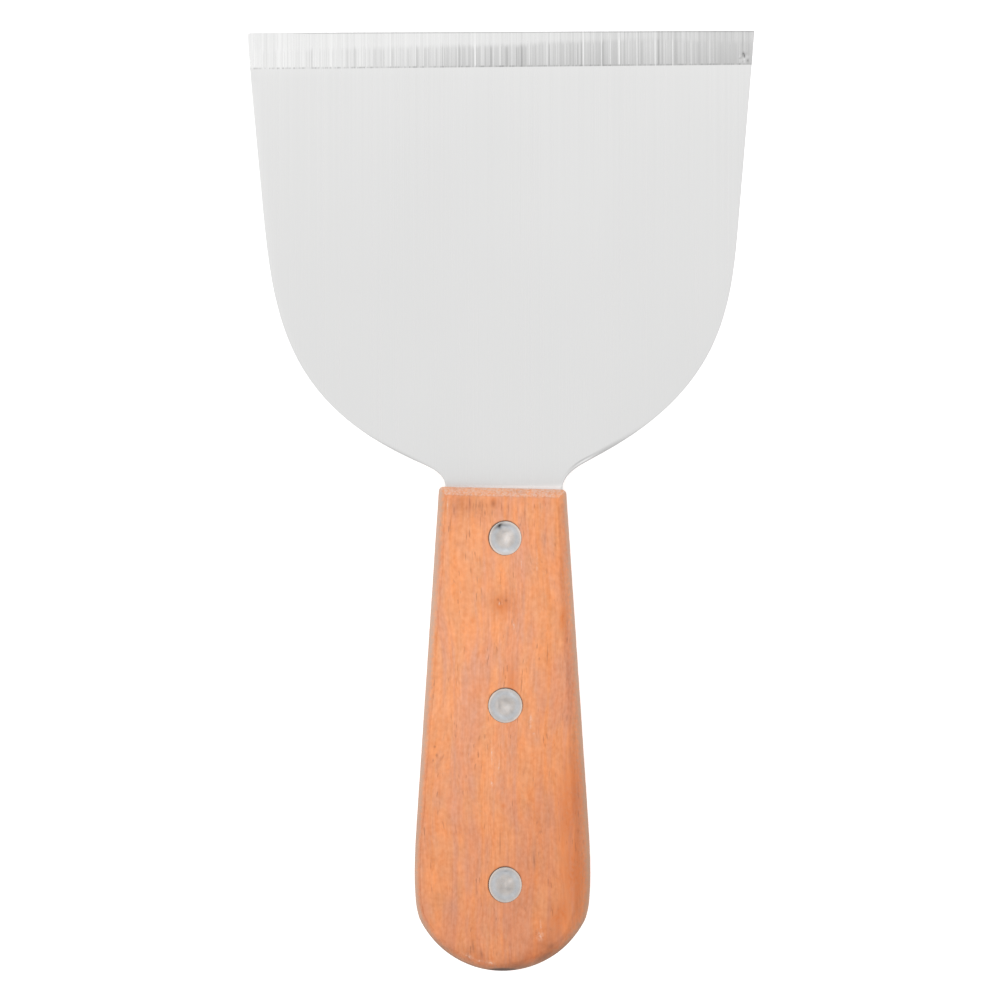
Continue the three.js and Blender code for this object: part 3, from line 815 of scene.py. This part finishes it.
def scale_shape(side):
    """One scale, lying with its glued face at height 0 and its outer face up."""
    ease = EASES[side]
    top = SCALE_THICKNESS
    shape = Shape()
    base = handle_ring(ease, 0.0)
    drops = ease["drop"] * (1 + 0.05 * rolling(base[:, 1] + base[:, 0], ease["seed"] + 9, 23))
    wobble = 0.03 * rolling(-base[:, 1], ease["seed"] + 3, 14)
    normals = loop_normals(base)

    def ring(amount, height, edge, tuck=0.0):
        loop = handle_ring(ease, amount)
        loop = loop - normals * (tuck + np.abs(wobble) * (1 - min(amount, 1)))[:, None]
        height = np.broadcast_to(height, len(loop))
        points = np.column_stack([loop, height])
        kinds = {"worn": EDGE_WEAR_AND_SHEEN, "shade": EDGE_DARK, "pale": EDGE_PALE, "soot": EDGE_JOINT_AND_SHADE}
        marks = {mark: edge_wear_and_light(normals, edge, kinds[mark]) for mark in kinds}
        return shape.add(points, **marks)

    rings = [shape.add(np.column_stack([handle_ring(ease, 1.13), np.full(len(base), top)]))]
    soft = 0.22  # how much of the eased edge is round, where the rest is a flat chamfer
    for t in np.linspace(0, 1, 12):
        round_in, round_drop = 1 - math.sin(t * math.pi / 2), 1 - math.cos(t * math.pi / 2)
        amount = soft * round_in + (1 - soft) * (1 - t)
        rings.append(ring(amount, top - drops * (soft * round_drop + (1 - soft) * t), t))
    wall_top = top - ease["drop"] * 1.07
    for height in (wall_top - 0.25, 4.4, 3.0, 1.5, 0.25):
        rings.append(ring(0.0, height, 1.0 + (wall_top - height) / wall_top))
    rings.append(ring(0.0, 0.07, 2.0, tuck=0.02))
    rings.append(ring(0.0, 0.0, 2.0, tuck=0.1))
    shape.skins(rings)

    around = circle(HOLE_SEGMENTS)
    hole = HEAD_RADIUS + HOLE_CLEARANCE
    seat = top - (SCALE_HIGH.z / MM - HEAD_FACE) - HEAD_THICKNESS - HOLE_CLEARANCE
    levels = (
        (hole + 0.38, top, 0), (hole + 0.2, top, 0.4), (hole + 0.05, top, 1),
        (hole, top - 0.06, 1), (hole, seat + 0.05, 1), (hole - 0.05, seat, 1),
        (SHANK_HOLE + 0.05, seat, 0), (SHANK_HOLE, seat - 0.05, 0), (SHANK_HOLE, 0.0, 0),
    )
    mouths, floors = [], []
    for number, (name, (x, y)) in enumerate(RIVETS.items()):
        # Painted shade in the gap round each head, strongest towards the upper left.
        turn = np.degrees(np.arctan2(around[:, 1], around[:, 0]))
        lean = 0.40 + 0.38 * np.cos(np.radians(turn - (140, 60, 125)[number]))
        lean = np.clip(1.25 * lean - 0.12 + 0.16 * rolling(turn, 70 + number, 75), 0, 0.95)
        holes = []
        for radius, z, gap_shade in levels:
            oval = OVAL[name] if radius > HEAD_RADIUS else (1, 1)
            spots = around * radius * oval + [x, y]
            if radius > HEAD_RADIUS:
                spots = spots + HOLE_ASIDE
            holes.append(
                shape.add(np.column_stack([spots, np.full(HOLE_SEGMENTS, z)]), soot=gap_shade * lean)
            )
        for a, b in zip(holes, holes[1:]):
            shape.skin(b, a)
        mouths.append(holes[0])
        floors.append(holes[-1])
    details = [(x, y, across, along) for _, x, y, across, along, _, _ in WEAR_AND_SHADE[side] if across < 0.8]
    fill_plane(shape, rings[0], mouths, 0.75, ease["seed"] + 20, details)
    upper_faces = len(shape.faces)
    fill_plane(shape, rings[-1], floors)
    shape.turn_over(upper_faces)

    # Press the marks in, and let the whole face grow browner towards the butt and the right.
    points = shape.points()
    x, y, z = points.T
    outer = z > top * 0.5
    shape.marks |= {"dark": np.zeros(len(points)), "rust": np.zeros(len(points))}
    for kind, at_x, at_y, across, along, depth, turn in WEAR_AND_SHADE[side]:
        press = blot(points, at_x, at_y, across, along, turn)
        # The dark crescent at the middle of the butt.
        if kind == "soot":
            press = smoothstep(0.1, 0.45, press) * smoothstep(2.0, 5.5, points[:, 2])
        else:
            press = np.where(outer, press, 0)
        points[:, 2] -= depth * press
        if kind == "shade":
            shape.marks[kind] = shape.marks[kind] + 0.6 * press
        # A darker band along the butt's rim.
        elif kind == "grime":
            shape.marks["soot"] = np.maximum(shape.marks["soot"], 0.46 * press)
        else:
            strength = NICK_PALENESS if kind == "pale" else 1.0
            shape.marks[kind] = np.maximum(shape.marks[kind], strength * press)
    drift = 0.76 * smoothstep(-30, -120, y) + 0.30 * np.clip(x / 18, -0.3, 1)
    share = smoothstep(0.5, 6.0, z)
    shape.marks["shade"] = np.clip(shape.marks["shade"] + drift * share + 0.3 * (1 - share), 0, 1.8)
    shape.vertices = [points]
    return shape


# ---- The rivets -----------------------------------------------------------------------------

# Each head's hollow and its painted highlights and painted shade: spots in fractions of the
# head's radius, their half-sizes, turn and strength.
HEADS = {
    "front": dict(shine=1.06, dish=0.16, off=(0.5, -0.5), dimple=0.0, lip=0.05, seed=41, spots=(
        (-0.40, 0.74, 0.34, 0.09, 38, -0.58), (-0.33, 0.66, 0.10, 0.13, 0, -0.51),
        (-0.10, 0.78, 0.28, 0.07, -4, -0.41), (0.10, 0.08, 0.22, 0.48, -42, 0.27),
        (0.10, -0.12, 0.20, 0.28, -20, 0.18), (0.02, 0.40, 0.22, 0.07, 10, -0.17),
        (0.00, -0.78, 0.55, 0.13, 0, 0.22), (0.66, -0.10, 0.15, 0.42, 0, -0.09),
        (-0.42, 0.10, 0.24, 0.34, 0, -0.15), (0.42, -0.30, 0.18, 0.20, 0, -0.12),
    )),
    "middle": dict(shine=1.0, dish=0.05, off=(0.0, -0.3), dimple=0.10, lip=0.03, seed=42, spots=(
        (-0.02, 0.36, 0.30, 0.10, 6, -0.15), (-0.36, 0.02, 0.09, 0.30, 6, -0.15),
        (0.06, -0.14, 0.26, 0.26, 0, 0.24), (0.16, 0.20, 0.16, 0.10, -30, -0.11),
        (-0.48, 0.05, 0.06, 0.28, 0, 0.14), (0.34, -0.34, 0.10, 0.20, 30, -0.14),
        (-0.30, -0.62, 0.26, 0.10, -38, 0.17), (0.45, 0.62, 0.30, 0.08, -38, 0.20),
    )),
    "butt": dict(shine=0.97, dish=0.03, off=(-0.3, 0.4), dimple=0.0, lip=0.05, seed=43, spots=(
        (0.28, 0.24, 0.18, 0.12, 0, 0.19), (-0.28, -0.10, 0.16, 0.30, 0, -0.12),
        (0.22, -0.24, 0.26, 0.12, 10, -0.14), (0.00, 0.82, 0.18, 0.05, 0, -0.31),
        (0.02, 0.04, 0.07, 0.26, 0, 0.14), (-0.66, 0.10, 0.10, 0.30, 0, 0.09),
        (0.60, 0.45, 0.12, 0.20, 0, 0.10),
    )),
}
TURNS = 96
PIN_SHANK, SOCKET_SHANK, SOCKET_BORE = 1.6, 2.5, 1.65


def rivet_shape(name, socket):
    """Half a rivet with its head up: heights are above the knife's middle plane."""
    look = HEADS[name]
    local = np.random.default_rng(look["seed"] + (100 if socket else 0))
    middle = (STEEL_BOTTOM + STEEL_TOP) / 2
    face = HEAD_FACE - middle
    shape = Shape()
    around = circle(TURNS)
    off = -np.array(look["off"])[::-1] if socket else np.array(look["off"])
    tilt = local.uniform(-0.006, 0.006, 2)
    rims = np.cos(2 * np.arctan2(around[:, 1], around[:, 0]) - local.uniform(0, 6.3))
    radii = np.concatenate([np.linspace(0.25, 3.7, 19), [3.85, 3.96, 4.04, 4.11, 4.16, HEAD_RADIUS]])

    # Painted highlights and painted shade on the head, from its spots.
    def shine(spots):
        spotted = sum(
            amount * blot(spots / HEAD_RADIUS, x, y, across, along, turn)
            for x, y, across, along, turn, amount in look["spots"]
        )
        return look["shine"] * (1 + spotted)

    rings = []
    for radius in radii:
        spots = around * radius * OVAL[name]
        away = np.linalg.norm(spots - off, axis=1)
        height = -look["dish"] * np.clip(1 - (away / 4.1) ** 2, 0, 1) ** 1.3
        if look["dimple"]:
            ringed = np.linalg.norm(spots - off * 0.6 - [0.1, -0.25], axis=1)
            height -= look["dimple"] * np.exp(-((ringed / 1.15) ** 4))
            height += 0.02 * np.exp(-(((ringed - 1.75) / 0.3) ** 2))
        edge = np.clip((radius - 3.95) / (HEAD_RADIUS - 3.95), 0, 1)
        height += spots @ tilt - 0.02 - look["lip"] * (1 - math.sqrt(max(0.0, 1 - edge**2)))
        # A painted warm highlight round the head's rim.
        rim = float(smoothstep(3.72, 3.95, radius)) * (0.62 + 0.38 * rims)
        cool = math.exp(-(((radius / HEAD_RADIUS - 0.72) / 0.16) ** 2))
        points = np.column_stack([spots, face + height])
        rings.append(shape.add(points, tone=shine(spots), rim=rim, cool=cool))
    middle_height = shape.points()[rings[0]][:, 2].mean()
    centre = shape.add([[0, 0, middle_height]], tone=shine(np.zeros((1, 2))))[0]
    for i in range(TURNS):
        shape.face(rings[0][(i + 1) % TURNS], rings[0][i], centre)
    under = face - HEAD_THICKNESS
    shank = SOCKET_SHANK if socket else PIN_SHANK
    tip = -face + HEAD_THICKNESS + 0.6
    levels = [(HEAD_RADIUS, under + 0.06), (HEAD_RADIUS - 0.06, under), (shank + 0.1, under)]
    levels += [(shank, under - 0.1), (shank, 0.0)]
    if socket:
        levels += [(shank, tip + 0.1), (shank - 0.1, tip), (SOCKET_BORE + 0.1, tip)]
        levels += [(SOCKET_BORE, tip + 0.1), (SOCKET_BORE, 0.0), (SOCKET_BORE, under)]
    else:
        levels += [(shank, tip + 0.5), (shank - 0.5, tip)]
    for radius, height in levels:
        oval = OVAL[name] if radius > shank + 0.2 else (1, 1)
        points = np.column_stack([around * radius * oval, np.full(TURNS, height)])
        rings.append(shape.add(points, tone=0.95))
    shape.skins(rings)
    end = shape.add([[0, 0, levels[-1][1]]], tone=0.95)[0]
    for i in range(TURNS):
        shape.face(rings[-1][i], rings[-1][(i + 1) % TURNS], end)
    points = shape.points()
    if socket:
        points = points * [1, -1, -1]
    shape.vertices = [points + [*RIVETS[name], middle]]
    return shape


# ---- Materials ------------------------------------------------------------------------------


LIGHT = 1.17  # how brightly an upward face is lit


def srgb(red, green, blue):
    """A colour given as it should look in that light, as the material's own."""
    linear = [
        c / 12.92 if c <= 0.04045 else ((c + 0.055) / 1.055) ** 2.4
        for c in (red / 255, green / 255, blue / 255)
    ]
    return (*(c / LIGHT for c in linear), 1.0)


class Look:
    """A material's nodes, added one at a time. Positions are in millimetres."""

    def __init__(self, name):
        self.material = bpy.data.materials.new(name)
        self.material.use_nodes = True
        self.tree = self.material.node_tree
        self.tree.nodes.clear()
        where = self.node("ShaderNodeTexCoord").outputs["Object"]
        self.at = self.node("ShaderNodeVectorMath", {0: where, 1: (1000,) * 3}, operation="MULTIPLY")
        self.at = self.at.outputs[0]

    def node(self, kind, inputs=None, **settings):
        made = self.tree.nodes.new(kind)
        for key, value in settings.items():
            setattr(made, key, value)
        for key, value in (inputs or {}).items():
            if isinstance(value, bpy.types.NodeSocket):
                self.tree.links.new(value, made.inputs[key])
            else:
                made.inputs[key].default_value = value
        return made

    def maths(self, operation, a, b):
        return self.node("ShaderNodeMath", {0: a, 1: b}, operation=operation).outputs[0]

    def times(self, a, b):
        return self.maths("MULTIPLY", a, b)

    def plus(self, a, b):
        return self.maths("ADD", a, b)

    def mix(self, factor, a, b, blend="MIX"):
        made = self.node("ShaderNodeMix", data_type="RGBA", blend_type=blend)
        for index, value in ((0, factor), (6, a), (7, b)):
            if isinstance(value, bpy.types.NodeSocket):
                self.tree.links.new(value, made.inputs[index])
            else:
                made.inputs[index].default_value = value
        return made.outputs[2]

    def noise(self, across, along, deep, detail=2.0, rough=0.5, shift=(0, 0, 0), source=None):
        """Noise whose cells are so big across the grain, along it and in depth."""
        scaled = self.node(
            "ShaderNodeVectorMath",
            {0: source or self.at, 1: (1 / across, 1 / along, 1 / deep), 2: shift},
            operation="MULTIPLY_ADD",
        )
        vector = scaled.outputs[0]
        inputs = {"Vector": vector, "Scale": 1.0, "Detail": detail, "Roughness": rough}
        return self.node("ShaderNodeTexNoise", inputs).outputs["Fac"]

    def between(self, value, low, high):
        """0 below low, 1 above high, and smooth between them."""
        inputs = {"Value": value, "From Min": low, "From Max": high}
        return self.node("ShaderNodeMapRange", inputs, interpolation_type="SMOOTHSTEP").outputs[0]

    def spread(self, value, low, high, to_low, to_high):
        inputs = {
            "Value": value, "From Min": low, "From Max": high, "To Min": to_low, "To Max": to_high,
        }
        return self.node("ShaderNodeMapRange", inputs).outputs[0]

    def swing(self, noise, low, high):
        """Noise brought to values that mostly lie from low to high."""
        return self.spread(noise, 0.3, 0.7, low, high)

    def mark(self, name):
        return self.node("ShaderNodeAttribute", attribute_name=name).outputs["Fac"]

    def bump(self, height, distance):
        inputs = {"Height": height, "Distance": distance * MM, "Strength": 1.0}
        return self.node("ShaderNodeBump", inputs).outputs[0]

    def surface(self, **inputs):
        named = {key.replace("_", " "): value for key, value in inputs.items()}
        shader = self.node("ShaderNodeBsdfPrincipled", named)
        self.node("ShaderNodeOutputMaterial", {"Surface": shader.outputs[0]})
        return self.material


def wood_look(name, shift):
    look = Look(name)
    sway = look.noise(14, 46, 14, 2.0, 0.5, shift)
    aside = {"X": look.swing(sway, -1.6, 1.6), "Z": look.swing(sway, 0.9, -0.9)}
    push = look.node("ShaderNodeCombineXYZ", aside).outputs[0]
    at = look.node("ShaderNodeVectorMath", {0: look.at, 1: push}, operation="ADD").outputs[0]

    def grain(across, along, detail, rough, apart):
        moved = (shift[0] + apart, shift[1], shift[2])
        return look.noise(across, along, across * 1.2, detail, rough, moved, at)

    streaks = grain(2.2, 60, 2.0, 0.55, 0)
    patches = grain(5.5, 18, 2.0, 0.5, 9)
    short = grain(0.80, 1.25, 1.0, 0.5, 17)
    long = grain(0.62, 8.0, 2.0, 0.55, 31)
    hue = grain(2.0, 6.5, 1.0, 0.5, 47)
    pore_field = grain(0.30, 2.4, 0.0, 0.5, 57)
    pore_gate = grain(2.6, 11, 1.0, 0.5, 71)
    speck = look.noise(0.5, 0.7, 0.5, 3.0, 0.6, (shift[0], shift[1] + 17, shift[2]))

    patchy = look.between(patches, 0.40, 0.62)
    colour = look.mix(patchy, srgb(244, 162, 110), srgb(234, 158, 118))
    greyer = look.times(look.between(streaks, 0.53, 0.70), 0.60)
    colour = look.mix(greyer, colour, srgb(227, 156, 124))
    warmer = look.times(look.between(streaks, 0.46, 0.30), 0.68)
    colour = look.mix(warmer, colour, srgb(243, 156, 97))

    fibres = look.plus(short, long)
    tone = look.spread(fibres, 0.63, 1.37, 0.0, 1.0)
    tint = look.mix(tone, (0.905, 0.84, 0.76, 1), (1.095, 1.16, 1.24, 1))
    colour = look.mix(1.0, colour, tint, "MULTIPLY")
    hue = look.spread(hue, 0.28, 0.72, 0.0, 1.0)
    tint = look.mix(hue, (1.055, 0.995, 0.91, 1), (0.945, 1.005, 1.09, 1))
    colour = look.mix(1.0, colour, tint, "MULTIPLY")
    pores = look.times(look.between(pore_field, 0.67, 0.80), look.between(pore_gate, 0.50, 0.66))
    colour = look.mix(look.times(pores, 0.55), colour, srgb(180, 116, 84))

    # What use has done to it, with painted reflection and painted shade round its edges and rivets,
    # from the marks on the mesh.
    rust = look.times(look.mark("rust"), look.swing(short, 0.35, 0.95))
    colour = look.mix(rust, colour, srgb(229, 131, 66))
    # Grey-pink towards the outer rims: partly wear, partly a painted reflection of the white floor.
    ragged = look.plus(look.mark("worn"), look.swing(speck, -0.25, 0.25))
    worn = look.times(look.between(ragged, 0.0, 1.0), 0.85)
    colour = look.mix(worn, colour, srgb(198, 172, 155))
    # Painted shade on the chamfers, with browner wood towards the butt and in patches.
    shade = look.times(look.mark("shade"), look.swing(patches, 0.50, 0.62))
    shade_tint = look.mix(shade, (1, 1, 1, 1), (0.66, 0.50, 0.36, 1))
    colour = look.mix(1.0, colour, shade_tint, "MULTIPLY")
    colour = look.mix(look.times(look.mark("dark"), 0.55), colour, srgb(150, 92, 64))
    pale = look.times(look.mark("pale"), look.spread(speck, 0.38, 0.62, 0.12, 1.0))
    colour = look.mix(pale, colour, srgb(243, 209, 190))
    # The dark glue line, painted shade in the gaps round the rivet heads, and the darker band and
    # crescent at the butt.
    colour = look.mix(look.times(look.mark("soot"), 0.90), colour, srgb(60, 44, 38))

    height = look.maths("SUBTRACT", look.times(fibres, 0.4), pores)
    normal = look.bump(height, 0.05)
    rough = look.swing(long, 0.62, 0.50)
    return look.surface(
        Base_Color=colour, Roughness=rough, Normal=normal, **{"Specular IOR Level": 0.35}
    )


def steel_look(name):
    look = Look(name)
    split = look.node("ShaderNodeSeparateXYZ", {0: look.at})
    upper = look.spread(look.between(split.outputs["Y"], 45, 105), 0, 1, 0.15, 1)
    lines = look.noise(0.45, 400, 0.5, 3.0, 0.6)
    fine = look.noise(0.11, 160, 0.1, 2.0, 0.5, (13, 0, 0))
    cloud = look.noise(34, 40, 34, 2.0, 0.5, (5, 5, 0))
    swing = look.times(look.swing(lines, -0.012, 0.012), upper)
    tone = look.times(look.mark("tone"), look.plus(swing, 1.0))
    tone = look.times(tone, look.swing(cloud, 0.992, 1.008))
    colour = look.node(
        "ShaderNodeCombineColor", {"Red": tone, "Green": tone, "Blue": look.times(tone, 0.996)}
    ).outputs[0]
    height = look.plus(look.times(fine, 0.6), look.times(lines, 0.4))
    normal = look.bump(height, 0.003)
    rough = look.swing(fine, 0.27, 0.33)
    return look.surface(Base_Color=colour, Metallic=1.0, Roughness=rough, Normal=normal)


def rivet_look(name, shift):
    look = Look(name)
    cloud = look.noise(1.3, 1.3, 1.3, 3.0, 0.6, shift)
    fleck = look.noise(0.35, 0.35, 0.35, 2.0, 0.6, shift)
    drift = look.noise(0.8, 0.8, 0.8, 2.0, 0.5, (shift[0] + 20, shift[1], shift[2]))
    tone = look.times(look.mark("tone"), look.swing(cloud, 0.93, 1.07))
    tone = look.times(tone, look.swing(fleck, 0.95, 1.05))
    grey = look.node("ShaderNodeCombineColor", {"Red": tone, "Green": tone, "Blue": tone}).outputs[0]
    drift = look.spread(drift, 0.35, 0.65, 0, 1)
    metal = look.mix(drift, (0.468, 0.430, 0.402, 1), (0.448, 0.425, 0.412, 1))
    metal = look.mix(look.times(look.mark("cool"), 0.7), metal, (0.42, 0.445, 0.475, 1))
    # A painted warm highlight round the head's rim.
    metal = look.mix(look.times(look.mark("rim"), 0.65), metal, (0.68, 0.57, 0.50, 1))
    colour = look.mix(1.0, metal, grey, "MULTIPLY")
    normal = look.bump(look.plus(cloud, look.times(fleck, 0.4)), 0.05)
    rough = look.swing(fleck, 0.38, 0.52)
    return look.surface(Base_Color=colour, Metallic=1.0, Roughness=rough, Normal=normal)


# ---- The pieces -----------------------------------------------------------------------------


def keep(shape, name, look, node, slot):
    piece = finish_shape(shape, name, look)
    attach(piece, "root")
    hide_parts(node)


keep(blade_shape(), "blade", steel_look("satin_steel"), "blade_and_tang", "blade_steel")

for side, shift in (("front", (0.0, 0.0, 0.0)), ("back", (40.0, 11.0, 23.0))):
    shape = scale_shape(side)
    points = shape.points()
    if side == "front":
        points[:, 2] += SCALE_LOW.z / MM
    else:
        points[:, 2] = BACK_HIGH.z / MM - points[:, 2]
    shape.vertices = [points]
    keep(shape, f"{side}_scale_wood", wood_look(f"{side}_wood", shift), f"{side}_scale", "handle_wood")

for number, name in enumerate(RIVETS):
    for half in ("pin", "socket"):
        look = rivet_look(f"{name}_{half}_metal", (number * 7.3, 3.1, 5.0 if half == "pin" else 9.0))
        shape = rivet_shape(name, half == "socket")
        keep(shape, f"{name}_{half}", look, f"{name}_rivet_{half}", "rivet_metal")

# ---- Floor, light and camera ----------------------------------------------------------------

FLOOR_SIZE, FLOOR_GAP = 8, 0.0002
bpy.ops.mesh.primitive_plane_add(
    size=FLOOR_SIZE, location=(0, 0, cad_bounds[0][2] - FLOOR_GAP)
)
floor = bpy.context.object
floor.name = "floor"
floor_look = Look("floor_paper")
floor.data.materials.append(
    floor_look.surface(
        Base_Color=(0.95, 0.95, 0.95, 1), Roughness=0.9,
        **{"Specular IOR Level": 0.1, "Emission Color": (1, 1, 1, 1), "Emission Strength": 0.42},
    )
)

scene = bpy.context.scene
scene.view_settings.view_transform = "Standard"
scene.view_settings.look = "None"

world = bpy.data.worlds.new("studio")
scene.world = world
world.use_nodes = True
tree = world.node_tree
background = tree.nodes["Background"]
background.inputs["Color"].default_value = (1, 1, 1, 1)
where = tree.nodes.new("ShaderNodeTexCoord")
parts = tree.nodes.new("ShaderNodeSeparateXYZ")
tree.links.new(where.outputs["Generated"], parts.inputs[0])
high = tree.nodes.new("ShaderNodeMapRange")
high.interpolation_type = "SMOOTHSTEP"
for key, value in (("From Min", 0.1), ("From Max", 0.8), ("To Min", 0.76), ("To Max", 1.19)):
    high.inputs[key].default_value = value
tree.links.new(parts.outputs["Z"], high.inputs["Value"])
tree.links.new(high.outputs[0], background.inputs["Strength"])

key_data = bpy.data.lights.new("key", "AREA")
key_data.shape = "DISK"
key_data.size = 1.2
key_data.energy = 5
key = bpy.data.objects.new("key", key_data)
key.location = (-1.1, 0.7, 1.5)
key.rotation_euler = (Vector(key.location)).to_track_quat("Z", "Y").to_euler()
scene.collection.objects.link(key)

# The camera looks straight down from high up, so the knife shows with hardly any perspective.
VIEW_WIDTH = 0.2509  # how much of the steel's plane it takes in, in metres
CAMERA_HEIGHT = 2.0
SENSOR_WIDTH = 36
camera_data = bpy.data.cameras.new("camera")
camera = bpy.data.objects.new("camera", camera_data)
camera.location = (AXIS_X - 0.0005, FRONT_Y - 0.00313, STEEL_HIGH.z + CAMERA_HEIGHT)
camera.rotation_euler = Euler((0, 0, 0))
camera_data.sensor_width = SENSOR_WIDTH
camera_data.lens = SENSOR_WIDTH * CAMERA_HEIGHT / VIEW_WIDTH
scene.collection.objects.link(camera)
scene.camera = camera
